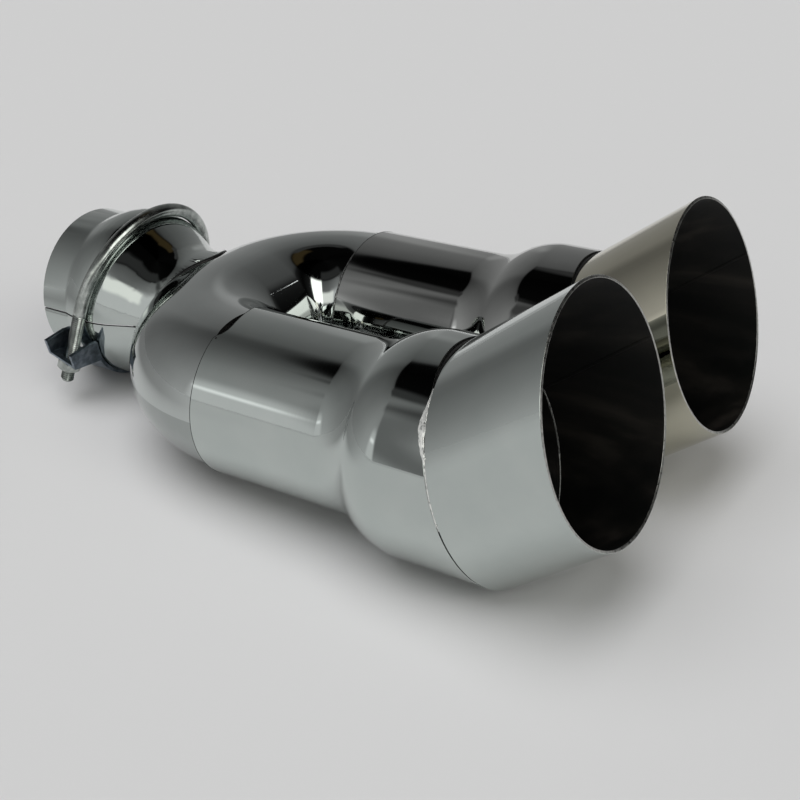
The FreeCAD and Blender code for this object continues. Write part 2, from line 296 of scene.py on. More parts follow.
def chrome_plate(name, shades, haze, ripple):
    """Chrome-plated tube, buffed around its girth: a cold dark mirror with faint rings and slow ripple."""
    material, tree, shader, place = new_material(name, 1.0)
    cloud = add_node(tree, "ShaderNodeTexNoise", {"Vector": place, "Scale": 1 / CLOUD_SIZE, "Detail": 3.0})
    colour_and_haze(tree, shader, cloud.outputs["Fac"], [(0.3, shades[0]), (0.7, shades[1])], haze)
    rings = add_node(tree, "ShaderNodeMapping",
                     {"Vector": place, "Scale": (1 / BUFF_PITCH, 1 / BUFF_LENGTH, 1 / BUFF_LENGTH)})
    buff = add_node(tree, "ShaderNodeTexNoise",
                    {"Vector": rings.outputs["Vector"], "Scale": 1.0, "Detail": 2.0})
    wave = add_node(tree, "ShaderNodeTexNoise", {"Vector": place, "Scale": 1 / RIPPLE_SIZE, "Detail": 1.0})
    fine = add_node(tree, "ShaderNodeBump",
                    {"Height": buff.outputs["Fac"], "Strength": 0.01, "Distance": 0.1 * MM})
    slow = add_node(tree, "ShaderNodeBump",
                    {"Height": wave.outputs["Fac"], "Strength": ripple, "Distance": 0.25 * MM,
                     "Normal": fine.outputs["Normal"]})
    tree.links.new(slow.outputs["Normal"], shader.inputs["Normal"])
    return material


def sooty_bore():
    """The unpolished inside, dulled by soot: near black with soft brown-grey streaks along the bore."""
    material, tree, shader, place = new_material("sooty_bore", 0.0)
    shader.inputs["Specular IOR Level"].default_value = 0.35
    along = add_node(tree, "ShaderNodeMapping",
                     {"Vector": place, "Scale": (1 / STREAK_LENGTH, 1 / STREAK_WIDTH, 1 / STREAK_WIDTH)})
    streaks = add_node(tree, "ShaderNodeTexNoise",
                       {"Vector": along.outputs["Vector"], "Scale": 1.0, "Detail": 6.0})
    colour_and_haze(tree, shader, streaks.outputs["Fac"],
                    [(0.38, "#090A09"), (0.55, "#141311"), (0.72, "#2B2824")], (0.5, 0.8))
    soot = add_node(tree, "ShaderNodeTexNoise", {"Vector": place, "Scale": 1 / SOOT_GRAIN, "Detail": 4.0})
    bump = add_node(tree, "ShaderNodeBump",
                    {"Height": soot.outputs["Fac"], "Strength": 0.3, "Distance": 0.1 * MM})
    tree.links.new(bump.outputs["Normal"], shader.inputs["Normal"])
    return material


def cut_edge():
    """Sawn and deburred tube edge: bare steel that catches a thin bright line."""
    material, tree, shader, place = new_material("sawn_steel_edge", 1.0)
    grain = add_node(tree, "ShaderNodeTexNoise", {"Vector": place, "Scale": 1 / SAWN_GRAIN, "Detail": 3.0})
    colour_and_haze(tree, shader, grain.outputs["Fac"], [(0.3, "#8F908D"), (0.7, "#C4C4BF")], (0.2, 0.4))
    return material


def weld_steel(name, shades, metallic):
    """Plated weld bead: bright and rippled, with darker patches at random."""
    material, tree, shader, place = new_material(name, metallic)
    grain = add_node(tree, "ShaderNodeTexNoise", {"Vector": place, "Scale": 1 / WELD_GRAIN, "Detail": 4.0})
    colour_and_haze(tree, shader, grain.outputs["Fac"],
                    [(0.3, shades[0]), (0.42, shades[1]), (0.7, shades[2])], (0.3, 0.08))
    bump = add_node(tree, "ShaderNodeBump",
                    {"Height": grain.outputs["Fac"], "Strength": 0.5, "Distance": 0.2 * MM})
    tree.links.new(bump.outputs["Normal"], shader.inputs["Normal"])
    return material


def dark_root_and_painted_shade():
    """Weld root's dark oxide, near black, which also paints the shade in seams and corners."""
    material, tree, shader, place = new_material("dark_weld_root_and_painted_shade", 0.5)
    grain = add_node(tree, "ShaderNodeTexNoise", {"Vector": place, "Scale": 1 / OXIDE_GRAIN, "Detail": 4.0})
    colour_and_haze(tree, shader, grain.outputs["Fac"], [(0.35, "#070707"), (0.75, "#242423")], (0.35, 0.6))
    return material


def zinc_plate(name, shades, haze, mottle_size, relief):
    """Zinc plating: grey-green to blue-grey, mottled like frost, with a soft shine."""
    material, tree, shader, place = new_material(name, 1.0)
    mottle = add_node(tree, "ShaderNodeTexNoise",
                      {"Vector": place, "Scale": 1 / mottle_size, "Detail": 5.0, "Roughness": 0.6})
    colour_and_haze(tree, shader, mottle.outputs["Fac"],
                    [(0.32, shades[0]), (0.5, shades[1]), (0.68, shades[2])], haze)
    bump = add_node(tree, "ShaderNodeBump",
                    {"Height": mottle.outputs["Fac"], "Strength": relief, "Distance": 0.15 * MM})
    tree.links.new(bump.outputs["Normal"], shader.inputs["Normal"])
    return material


def floor_with_painted_shade():
    """Matt paper sweep, pale under the object, with painted shade to the near left and far away."""
    material, tree, shader, place = new_material("matt_floor_with_painted_shade", 0.0)
    shader.inputs["Roughness"].default_value = 0.9
    shader.inputs["Specular IOR Level"].default_value = 0.0
    beyond = add_node(tree, "ShaderNodeVectorMath", {0: place, 1: SHADE_EDGE}, operation="SUBTRACT")
    past = add_node(tree, "ShaderNodeVectorMath", {0: beyond.outputs["Vector"], 1: SHADE_SIDE},
                    operation="DOT_PRODUCT")
    offset = add_node(tree, "ShaderNodeVectorMath", {0: place, 1: SHADE_PIVOT}, operation="SUBTRACT")
    run = add_node(tree, "ShaderNodeVectorMath", {0: offset.outputs["Vector"]}, operation="LENGTH")
    axes = add_node(tree, "ShaderNodeSeparateXYZ", {"Vector": offset.outputs["Vector"]})
    turn = add_node(tree, "ShaderNodeMath", {0: axes.outputs["Y"], 1: axes.outputs["X"]},
                    operation="ARCTAN2")
    heading = add_node(tree, "ShaderNodeMath", {0: turn.outputs[0], 1: 2 * math.pi, 2: 0.0},
                       operation="WRAP")
    share = add_node(tree, "ShaderNodeMath", {0: heading.outputs[0], 1: 1 / (2 * math.pi)},
                     operation="MULTIPLY")
    wedge = add_node(tree, "ShaderNodeValToRGB", {"Fac": share.outputs[0]})
    set_stops(wedge, [(a / 360, (near, far, 0, 1)) for a, near, far in SHADE_STOPS])
    parts = add_node(tree, "ShaderNodeSeparateColor", {"Color": wedge.outputs["Color"]})
    shades = []
    for distance, start, end, part in ((past, SHADE_START, SHADE_END, "Red"),
                                       (run, FAR_FADE_START, FAR_FADE_END, "Green")):
        ease = add_node(tree, "ShaderNodeMapRange",
                        {"Value": distance.outputs["Value"], "From Min": start, "From Max": end},
                        interpolation_type="SMOOTHSTEP")
        shades.append(add_node(tree, "ShaderNodeMath", {0: ease.outputs["Result"], 1: parts.outputs[part]},
                               operation="MULTIPLY"))
    shade = add_node(tree, "ShaderNodeMath", {0: shades[0].outputs[0], 1: shades[1].outputs[0]},
                     operation="MAXIMUM")
    # Painted shade: the floor's colour darkens from pale grey toward mid grey where the shade lies
    colour = add_node(tree, "ShaderNodeValToRGB", {"Fac": shade.outputs[0]})
    set_stops(colour, [(0.0, linear("#CCCCCC")), (1.0, linear("#7E7E7E"))])
    tree.links.new(colour.outputs["Color"], shader.inputs["Base Color"])
    return material


# Modelling helpers


def deselect():
    if bpy.context.object is not None and bpy.context.object.mode != "OBJECT":
        bpy.ops.object.mode_set(mode="OBJECT")
    bpy.ops.object.select_all(action="DESELECT")


def make_active(piece):
    deselect()
    piece.select_set(True)
    bpy.context.view_layer.objects.active = piece


def apply_modifier(piece, kind, **settings):
    make_active(piece)
    modifier = piece.modifiers.new(kind.lower(), kind)
    for name, value in settings.items():
        setattr(modifier, name, value)
    bpy.ops.object.modifier_apply(modifier=modifier.name)


def apply_place(piece):
    make_active(piece)
    bpy.ops.object.transform_apply(location=True, rotation=True, scale=True)


def ring(name, segments, radius, centre, rotation):
    """A circle of edges, all selected, in edit mode."""
    deselect()
    bpy.ops.mesh.primitive_circle_add(vertices=segments, radius=radius, location=centre, rotation=rotation)
    piece = bpy.context.object
    piece.name = name
    bpy.ops.object.transform_apply(location=True, rotation=True, scale=True)
    bpy.ops.object.mode_set(mode="EDIT")
    bpy.ops.mesh.select_all(action="SELECT")
    return piece


def tube_ring(name, radius, centre, turn):
    """A circle of edges that stands across X, turned about Y."""
    return ring(name, RING_SEGMENTS, radius, centre, (0, math.pi / 2 - turn, 0))


def stretch(step):
    bpy.ops.mesh.extrude_region()
    bpy.ops.transform.translate(value=step)


def cut_away(point, normal, fill=False):
    """Bisects the whole mesh and removes what lies on the normal's side."""
    bpy.ops.mesh.select_all(action="SELECT")
    bpy.ops.mesh.bisect(plane_co=point, plane_no=normal, clear_outer=True, use_fill=fill)


def outward():
    bpy.ops.mesh.select_all(action="SELECT")
    bpy.ops.mesh.remove_doubles(threshold=MERGE)
    bpy.ops.mesh.normals_make_consistent(inside=False)


def give_wall(piece, thickness, skin, lining, rim):
    """Gives a skin its thickness, with the lining and the rim in their own materials."""
    for material in (skin, lining, rim):
        piece.data.materials.append(material)
    apply_modifier(piece, "SOLIDIFY", thickness=thickness, offset=-1.0, use_even_offset=True,
                   material_offset=1, material_offset_rim=2)


def carve(piece, cutter, slot=0):
    """Cuts a shape out of a piece; the faces of the cut take the material in that slot."""
    for material in piece.data.materials:
        cutter.data.materials.append(material)
    for face in cutter.data.polygons:
        face.material_index = slot
    apply_modifier(piece, "BOOLEAN", operation="DIFFERENCE", object=cutter, solver="EXACT")
    bpy.data.objects.remove(cutter)


def smooth(piece, degrees=40):
    make_active(piece)
    bpy.ops.object.shade_smooth_by_angle(angle=math.radians(degrees))


def round_edges(piece, width, degrees=60, segments=3):
    """Rounds the sharp edges, and keeps the wide faces' shading clean beside them."""
    apply_modifier(piece, "BEVEL", width=width, segments=segments, limit_method="ANGLE",
                   angle_limit=math.radians(degrees), harden_normals=False)
    smooth(piece)
    apply_modifier(piece, "WEIGHTED_NORMAL", keep_sharp=True, weight=50)


def join_into(piece, parts):
    make_active(piece)
    for part in parts:
        part.select_set(True)
    bpy.ops.object.join()


def dress(piece, node):
    """Puts a piece in the place of a node."""
    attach(piece, "root")
    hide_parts(node)


def lumps(point, size):
    """Smooth unevenness between -1 and 1 at a point, with lumps of the given size."""
    return noise.noise(point / size + Vector((SEED, 0, 0)))


def roughness(point, sizes):
    """Large and small lumps together at a point."""
    return LARGE_SHARE * lumps(point, sizes[0]) + (1 - LARGE_SHARE) * lumps(point, sizes[1])


def swell(amounts, rise, rough):
    """A size of a bead from its base, what the rise adds and what unevenness adds to that."""
    base, gain, uneven = amounts
    return (base + gain * rise + uneven * rise * rough) * MM


# Pieces


def flare_profile(shift, end):
    """Stations of the sleeve, each a place along it and a radius: straight, two tangent arcs, straight."""
    rise = TIP_RADIUS - SLEEVE_RADIUS
    run = FLARE_END - FLARE_START
    bend = (run * run + rise * rise) / (4 * rise)
    swing = math.asin(run / 2 / bend)
    straight = (0.0, REAR_STRAIGHT, FLARE_START)
    stations = [(shift + place, SLEEVE_RADIUS) for place in straight]
    for k in range(1, FLARE_STEPS + 1):
        a = swing * k / FLARE_STEPS
        rise_here = bend * (1 - math.cos(a))
        stations.append((FLARE_START + shift + bend * math.sin(a), SLEEVE_RADIUS + rise_here))
    for k in range(FLARE_STEPS - 1, -1, -1):
        a = swing * k / FLARE_STEPS
        rise_here = bend * (1 - math.cos(a))
        stations.append((FLARE_END + shift - bend * math.sin(a), TIP_RADIUS - rise_here))
    stations.append((end, TIP_RADIUS))
    return stations


def make_sleeve(name, side, shift, seam_x, skin, lining, rim):
    """An outlet's sleeve: rings drawn along its axis and cut at the mitre."""
    end = seam_x + TIP_RADIUS
    stations = flare_profile(shift, end)
    x, radius = stations[0]
    axis = SHIFT + Vector((0, side * HALF_SPACING, 0))
    piece = tube_ring(name, radius, axis + Vector((x, 0, 0)), 0)
    for next_x, next_radius in stations[1:]:
        stretch((next_x - x, 0, 0))
        grow = next_radius / radius
        bpy.ops.transform.resize(value=(1, grow, grow), center_override=axis + Vector((next_x, 0, 0)))
        x = next_x
        radius = next_radius
    seam = axis + Vector((seam_x, 0, 0)) - MITRE * SEAM_GAP / 2
    cut_away(seam, MITRE)
    outward()
    bpy.ops.object.mode_set(mode="OBJECT")
    for v in piece.data.vertices:
        around = math.atan2(v.co.z - axis.z, v.co.y - axis.y)
        if abs((v.co - seam).dot(MITRE)) < SAME_PLANE:
            v.co.x -= OPEN_SEAM * hump(around, OPEN_SEAM_FROM, OPEN_SEAM_TO)
        if side < 0 and v.co.x < axis.x + REAR_EDGE:
            v.co.x += between(GAP_WIDTHS, math.degrees(around), 1) * MM
    give_wall(piece, SLEEVE_WALL, skin, lining, rim)
    round_edges(piece, EDGE_BEVEL)
    return piece


def hump(value, start, end):
    """A smooth hump from 0 at the start through 1 to 0 at the end."""
    share = (value - start) / (end - start)
    return math.sin(math.pi * share) if 0 < share < 1 else 0.0


def make_tip(name, side, seam_x, length, skin, lining, rim, dark_root_and_shade):
    """A slanted tip: an overlong tube cut at the mitre and at the mouth."""
    slope = Vector((math.cos(TIP_ANGLE), 0, math.sin(TIP_ANGLE)))
    seam = SHIFT + Vector((seam_x, side * HALF_SPACING, 0))
    start = seam - slope * TIP_RADIUS
    total = length + 3 * TIP_RADIUS
    piece = tube_ring(name, TIP_RADIUS, start, TIP_ANGLE)
    for k in range(TIP_STEPS):
        stretch(slope * total / TIP_STEPS)
    front = Vector((math.cos(MOUTH_ANGLE), 0, math.sin(MOUTH_ANGLE)))
    cut_away(seam + MITRE * SEAM_GAP / 2, -MITRE)
    cut_away(seam + slope * length, front)
    outward()
    bpy.ops.object.mode_set(mode="OBJECT")
    give_wall(piece, TIP_WALL, skin, lining, rim)
    # Rim faces near the mitre take the dark root colour, painted shade in the seam's gap
    piece.data.materials.append(dark_root_and_shade)
    for face in piece.data.polygons:
        if face.material_index == 2 and abs((face.center - seam).dot(MITRE)) < SEAM_BAND:
            face.material_index = 3
    round_edges(piece, EDGE_BEVEL, degrees=50)

    # The tube's own weld seam, a low ridge along the bore
    across = Vector((-math.sin(TIP_ANGLE), 0, math.cos(TIP_ANGLE))) * math.sin(RIDGE_ANGLE)
    across.y = math.cos(RIDGE_ANGLE)
    foot = start + across * (TIP_RADIUS - TIP_WALL + RIDGE_SINK)
    ridge = ring(name + "_ridge", BEAD_SIDES, RIDGE_RADIUS, foot, (0, math.pi / 2 - TIP_ANGLE, 0))
    for k in range(TIP_STEPS):
        stretch(slope * total / TIP_STEPS)
    cut_away(seam + MITRE * SEAM_GAP, -MITRE, fill=True)
    cut_away(seam + slope * length - front * EDGE_BEVEL, front, fill=True)
    outward()
    bpy.ops.object.mode_set(mode="OBJECT")
    ridge.data.materials.append(lining)
    smooth(ridge)
    join_into(piece, [ridge])
    return piece


def make_bend_shell(name, upper, skin, lining, rim):
    """One pressed half of the bend: the whole tube swept and halved at mid height."""
    near_pivot = SHIFT + Vector((0, NEAR_CENTRE, 0))
    far_pivot = SHIFT + Vector((-FAR_SHIFT, FAR_CENTRE, 0))
    back = FAR_CENTRE - NEAR_CENTRE
    quarter = math.pi / 2
    piece = tube_ring(name, BEND_RADIUS, SHIFT + Vector((BEND_LEG, -HALF_SPACING, 0)), 0)
    stretch((-BEND_LEG, 0, 0))
    bpy.ops.mesh.spin(steps=TURN_STEPS, angle=quarter, center=near_pivot, axis=(0, 0, 1))
    stretch((0, back / 2, 0))
    stretch((0, back / 2, 0))
    bpy.ops.mesh.spin(steps=TURN_STEPS, angle=quarter, center=far_pivot, axis=(0, 0, 1))
    stretch((BEND_LEG + FAR_SHIFT, 0, 0))
    outward()
    cut_away(SHIFT, (0, 0, -1 if upper else 1))
    bpy.ops.object.mode_set(mode="OBJECT")
    give_wall(piece, BEND_WALL, skin, lining, rim)
    deselect()
    bpy.ops.mesh.primitive_cylinder_add(vertices=CUT_SEGMENTS, radius=NECK_RADIUS - INLET_WALL,
                                        depth=NECK_CUT,
                                        location=SHIFT + Vector((-BEND_BACK - NECK_CUT / 2, 0, 0)),
                                        rotation=(0, math.pi / 2, 0))
    carve(piece, bpy.context.object)
    if upper:
        # The gap's walls take the dark lining, partly painting the shade in the gap under the sleeve's edge
        carve(piece, gap_cutter(), 1)
    round_edges(piece, SEAM_BEVEL, segments=2)
    return piece


def gap_cutter():
    """The lens of air under the near sleeve's scalloped rear edge."""
    first = GAP_WIDTHS[0][0]
    last = GAP_WIDTHS[-1][0]
    middle = (first + last) / 2
    deselect()
    bpy.ops.mesh.primitive_circle_add(vertices=2 * GAP_POINTS, radius=GAP_DEPTH, fill_type="NGON",
                                      location=(0, 0, BEND_RADIUS - GAP_DEPTH))
    cutter = bpy.context.object
    bpy.ops.object.transform_apply(location=True, rotation=True, scale=True)
    for k, v in enumerate(cutter.data.vertices):
        share = k / GAP_POINTS if k <= GAP_POINTS else 2 - k / GAP_POINTS
        around = first + (last - first) * share
        width = between(GAP_WIDTHS, around, 1) * MM
        v.co.y = -BEND_RADIUS * math.sin(math.radians(around - middle))
        v.co.x = width if k < GAP_POINTS else -GAP_BACK * width
    bpy.ops.object.mode_set(mode="EDIT")
    bpy.ops.mesh.select_all(action="SELECT")
    stretch((0, 0, 2 * GAP_DEPTH))
    outward()
    bpy.ops.object.mode_set(mode="OBJECT")
    cutter.matrix_world = Matrix.Translation(SHIFT + Vector((0, -HALF_SPACING, 0))) @ Matrix.Rotation(
        math.radians(middle - 90), 4, "X")
    apply_place(cutter)
    return cutter


def copy_of_node(name, node):
    """A merged, smooth copy of a node's mesh."""
    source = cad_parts[node]
    piece = bpy.data.objects.new(name, source.data.copy())
    bpy.context.scene.collection.objects.link(piece)
    piece.data.materials.clear()
    make_active(piece)
    bpy.ops.object.mode_set(mode="EDIT")
    bpy.ops.mesh.select_all(action="SELECT")
    bpy.ops.mesh.remove_doubles(threshold=MERGE)
    bpy.ops.object.mode_set(mode="OBJECT")
    smooth(piece)
    return piece


def make_inlet(skin, lining, rim):
    """The slit inlet, with its bore and the slits' walls in the dark lining and its mouth's edge bare."""
    piece = copy_of_node("inlet_skin", "inlet_tube")
    for material in (skin, lining, rim):
        piece.data.materials.append(material)
    axis = SHIFT + Vector((0, 0, INLET_RISE))
    for face in piece.data.polygons:
        out = face.center - axis
        out.x = 0
        if face.center.x < MOUTH_RIM:
            face.material_index = 2
        elif face.normal.dot(out.normalized()) < BORE_FACING:
            face.material_index = 1
    apply_modifier(piece, "WEIGHTED_NORMAL", keep_sharp=True, weight=50)
    return piece


def bead(name, steps, place, closed):
    """A tube of weld whose rings are placed one by one.

    place(share) gives the ring's centre, its two half axes and its material's slot."""
    piece = ring(name, BEAD_SIDES, 1.0, (0, 0, 0), (0, 0, 0))
    for k in range(steps - 1):
        stretch((0, 0, 1))
    bpy.ops.object.mode_set(mode="OBJECT")
    mesh = piece.data
    rings = [place(station / (steps if closed else steps - 1)) for station in range(steps)]
    slots = [0] * len(mesh.vertices)
    for v in mesh.vertices:
        centre, wide, tall, slots[v.index] = rings[round(v.co.z)]
        v.co = centre + wide * v.co.x + tall * v.co.y
    for face in mesh.polygons:
        face.material_index = slots[face.vertices[0]]
    make_active(piece)
    bpy.ops.object.mode_set(mode="EDIT")
    bpy.ops.mesh.select_all(action="DESELECT")
    bpy.ops.mesh.select_non_manifold()
    if closed:
        bpy.ops.mesh.bridge_edge_loops()
    else:
        bpy.ops.mesh.edge_face_add()
    outward()
    bpy.ops.object.mode_set(mode="OBJECT")
    smooth(piece, 80)
    return piece


def between(table, value, column):
    """A column of a table read at a value of its first column, in a straight line between rows."""
    for low, high in zip(table, table[1:]):
        if value <= high[0]:
            share = max(0.0, (value - low[0]) / (high[0] - low[0]))
            return low[column] + (high[column] - low[column]) * share
    return table[-1][column]


def mitre_point(side, seam_x, around):
    """The point of a mitre's edge at an angle around the tube, and the way out from the tube there."""
    out = Vector((0, math.cos(around), math.sin(around)))
    seam = SHIFT + Vector((seam_x, side * HALF_SPACING, 0)) + out * TIP_RADIUS
    seam.x -= out.z * TIP_RADIUS * math.tan(MITRE_ANGLE)
    return seam, out


def make_tip_bead(name, side, seam_x, table, spatter, weld, dark_root_and_shade):
    def place(share):
        around = 2 * math.pi * share
        seam, out = mitre_point(side, seam_x, around)
        rise, width, aside = [between(table, math.degrees(around), column) for column in (1, 2, 3)]
        rough = roughness(seam, TIP_LUMPS)
        height = swell(TIP_BEAD_HEIGHT, rise, rough)
        top = swell(TIP_BEAD_CROWN, rise, rough)
        half = width * (1 + TIP_BEAD_WAVER * min(1.0, 2 * rise) * rough) * MM
        pull = OPEN_SEAM * hump(around, OPEN_SEAM_FROM, OPEN_SEAM_TO)
        middle = seam + out * (top - height) + MITRE * aside * MM - Vector((pull / 2, 0, 0))
        return middle, MITRE * (half + pull / 2), out * height, 0 if rise > WELD_SHOWS else 1

    piece = bead(name, BEAD_STEPS, place, True)
    piece.data.materials.append(weld)
    piece.data.materials.append(dark_root_and_shade)
    spots = []
    for degrees, aside, radius in spatter:
        seam, out = mitre_point(side, seam_x, math.radians(degrees))
        spots.append((seam + MITRE * aside * MM + out * SPATTER_LIFT, radius * MM))
    add_balls(piece, spots, weld)
    return piece


def add_balls(piece, spots, weld):
    """Joins small balls of spatter into a bead."""
    balls = []
    for spot, radius in spots:
        deselect()
        bpy.ops.mesh.primitive_ico_sphere_add(subdivisions=2, radius=radius, location=spot)
        ball = bpy.context.object
        apply_place(ball)
        smooth(ball, 80)
        ball.data.materials.append(weld)
        balls.append(ball)
    join_into(piece, balls)


def make_neck_bead(name, skin, dark_root_and_shade):
    """Weld in the corner between neck and bend's back; its dark toes also paint the corners' shade."""
    def path(share, width, lift):
        around = 2 * math.pi * share
        out = Vector((0, math.cos(around), math.sin(around)))
        y = out.y * (NECK_RADIUS + NECK_CORNER)
        z = out.z * (NECK_RADIUS + NECK_CORNER)
        reach = math.sqrt(max(0.0, BEND_RADIUS ** 2 - z * z))
        if y < NEAR_CENTRE:
            x = -math.sqrt((NEAR_TURN + reach) ** 2 - (y - NEAR_CENTRE) ** 2)
        elif y > FAR_CENTRE:
            x = -FAR_SHIFT - math.sqrt((FAR_TURN + reach) ** 2 - (y - FAR_CENTRE) ** 2)
        else:
            x = -BEND_BACK - reach
        spot = SHIFT + Vector((x - lift, y, z))
        size = width * (0.9 + 0.1 * lumps(spot, NECK_LUMP))
        return spot, Vector((-1, 0, 0)) * size, out * size, 0

    piece = bead(name, BEAD_STEPS, lambda share: path(share, NECK_BEAD, NECK_LIFT), True)
    piece.data.materials.append(skin)
    # The toes are thin dark rings, weld oxide and painted shade in the corners beside the bead
    toes = bead(name + "_toes", BEAD_STEPS, lambda share: path(share, TOE_WIDTH, 0.0), True)
    toes.data.materials.append(dark_root_and_shade)
    join_into(piece, [toes])
    return piece


def make_sleeve_bead(name, side, start, weld, dark_root_and_shade):
    """Bead inside a sleeve's rear edge, its spatter, and a thin dark root all round: painted edge shade."""
    axis = SHIFT + Vector((start, side * HALF_SPACING, 0))
    first = math.radians(180 if side > 0 else 0) - SLEEVE_BEAD_SWEEP / 2

    def place(share):
        around = first + SLEEVE_BEAD_SWEEP * share
        out = Vector((0, math.cos(around), math.sin(around)))
        spot = axis + out * (SLEEVE_RADIUS - SLEEVE_BEAD_SINK)
        rough = roughness(spot, SLEEVE_LUMPS)
        ends = min(1.0, SLEEVE_BEAD_TAPER * share, SLEEVE_BEAD_TAPER * (1 - share))
        size = swell(SLEEVE_BEAD_SIZE, ends, rough)
        return spot - Vector((SLEEVE_BEAD_BACK, 0, 0)), Vector((-1, 0, 0)) * size, out * size, 0

    def root_place(share):
        around = 2 * math.pi * share
        out = Vector((0, math.cos(around), math.sin(around)))
        edge = axis + out * (SLEEVE_RADIUS - ROOT_SINK)
        if side < 0:
            edge.x += between(GAP_WIDTHS, math.degrees(around), 1) * MM
        return edge, Vector((-ROOT_RADIUS, 0, 0)), out * ROOT_RADIUS, 0

    piece = bead(name, BEAD_STEPS // 3, place, False)
    piece.data.materials.append(weld)
    # The root is a thin dark ring, painted shade in the corner under the sleeve's edge
    root = bead(name + "_root", RING_SEGMENTS, root_place, True)
    root.data.materials.append(dark_root_and_shade)
    join_into(piece, [root])
    spots = []
    for k in range(SPATTER_COUNT):
        around = first + SLEEVE_BEAD_SWEEP * random.uniform(*SPATTER_SPREAD)
        out = Vector((0, math.cos(around), math.sin(around)))
        size = random.uniform(*SPATTER_RADIUS) * MM
        reach = random.uniform(*SPATTER_REACH) * MM
        spots.append((axis + out * BEND_RADIUS - Vector((reach, 0, 0)), size))
    add_balls(piece, spots, weld)
    if side < 0:
        # The pit is a dark ball whose colour paints the shade in the pit
        pit = Vector((0, math.cos(PIT_ANGLE), math.sin(PIT_ANGLE))) * (SLEEVE_RADIUS - PIT_RADIUS / 2)
        add_balls(piece, [(axis + pit + Vector((PIT_PLACE, 0, 0)), PIT_RADIUS)], dark_root_and_shade)
    return piece


def clamp_place():
    lean = Matrix.Rotation(CLAMP_LEAN, 4, "Y")
    roll = Matrix.Rotation(-CLAMP_ROLL, 4, "X")
    return Matrix.Translation(CLAMP_CENTRE) @ lean @ roll


def make_u_bolt(name, rod):
    """The bent rod, with threaded legs."""
    step = THREAD_PITCH / STEPS_PER_PITCH
    threads = int((LEG_LENGTH - LEG_CHAMFER - THREAD_TOP) / step)
    rest = LEG_LENGTH - LEG_CHAMFER - threads * step
    piece = ring(name, ROD_SEGMENTS, ROD_RADIUS - LEG_CHAMFER, (0, -CLAMP_RADIUS, -LEG_LENGTH), (0, 0, 0))
    widen = ROD_RADIUS / (ROD_RADIUS - LEG_CHAMFER)
    stretch((0, 0, LEG_CHAMFER))
    bpy.ops.transform.resize(value=(widen, widen, 1),
                             center_override=(0, -CLAMP_RADIUS, -LEG_LENGTH + LEG_CHAMFER))
    for k in range(threads):
        stretch((0, 0, step))
    stretch((0, 0, rest))
    bpy.ops.mesh.spin(steps=ARCH_STEPS, angle=math.pi, center=(0, 0, 0), axis=(1, 0, 0))
    stretch((0, 0, -rest))
    for k in range(threads):
        stretch((0, 0, -step))
    stretch((0, 0, -LEG_CHAMFER))
    bpy.ops.transform.resize(value=(1 / widen, 1 / widen, 1),
                             center_override=(0, CLAMP_RADIUS, -LEG_LENGTH))
    bpy.ops.mesh.select_all(action="DESELECT")
    bpy.ops.mesh.select_non_manifold()
    bpy.ops.mesh.edge_face_add()
    outward()
    bpy.ops.object.mode_set(mode="OBJECT")
    for v in piece.data.vertices:
        if v.co.z < -THREAD_TOP / 2:
            cut_thread(v, math.copysign(CLAMP_RADIUS, v.co.y))
    piece.matrix_world = clamp_place()
    apply_place(piece)
    smooth(piece, 50)
    piece.data.materials.append(rod)
    return piece


def cut_thread(v, leg_y):
    """Draws a point of the leg in toward the leg's axis by the thread's depth where it is."""
    around = math.atan2(v.co.y - leg_y, v.co.x) / (2 * math.pi)
    turn = (v.co.z / THREAD_PITCH - around) % 1.0
    valley = min(1.0, THREAD_FLANK * (1 - abs(2 * turn - 1)))
    ease = min(1.0, (-v.co.z - THREAD_TOP / 2) / THREAD_FADE)
    ease *= min(1.0, (v.co.z + LEG_LENGTH) / LEG_CHAMFER)
    pull = 1 - max(0.0, ease) * THREAD_DEPTH * valley / ROD_RADIUS
    v.co.x *= pull
    v.co.y = leg_y + (v.co.y - leg_y) * pull


def make_nut(name, side, plating):
    """A hexagon nut: a six-sided bar turned down at its corners, with the rod's hole."""
    middle = Vector((0, side * CLAMP_RADIUS, -EAR_DROP - SADDLE_PLATE - NUT_HEIGHT / 2))
    across = NUT_FLATS / math.sqrt(3)
    deselect()
    bpy.ops.mesh.primitive_cylinder_add(vertices=6, radius=across, depth=NUT_HEIGHT, location=middle,
                                        rotation=(0, 0, math.radians(30)))
    piece = bpy.context.object
    piece.name = name
    bpy.ops.object.transform_apply(location=True, rotation=True, scale=True)
    deselect()
    bpy.ops.mesh.primitive_cylinder_add(vertices=CUT_SEGMENTS, radius=across, depth=NUT_HEIGHT,
                                        location=middle)
    turned = bpy.context.object
    apply_place(turned)
    apply_modifier(turned, "BEVEL", width=NUT_CHAMFER, segments=1, limit_method="ANGLE",
                   angle_limit=math.radians(60))
    apply_modifier(piece, "BOOLEAN", operation="INTERSECT", object=turned, solver="EXACT")
    bpy.data.objects.remove(turned)
    deselect()
    bpy.ops.mesh.primitive_cylinder_add(vertices=HOLE_SEGMENTS, radius=ROD_RADIUS + NUT_CLEARANCE,
                                        depth=2 * NUT_HEIGHT, location=middle)
    carve(piece, bpy.context.object)
    round_edges(piece, NUT_BEVEL, degrees=25, segments=2)
    piece.matrix_world = clamp_place()
    apply_place(piece)
    piece.data.materials.append(plating)
    return piece


def make_saddle(name, plating):
    """The pressed saddle, its flats merged and its edges rounded."""
    piece = copy_of_node(name, "clamp_saddle")
    bpy.ops.object.mode_set(mode="EDIT")
    bpy.ops.mesh.select_all(action="SELECT")
    bpy.ops.mesh.dissolve_limited(angle_limit=math.radians(0.5))
    bpy.ops.object.mode_set(mode="OBJECT")
    round_edges(piece, SADDLE_BEVEL, degrees=45, segments=2)
    piece.data.materials.append(plating)
    return piece


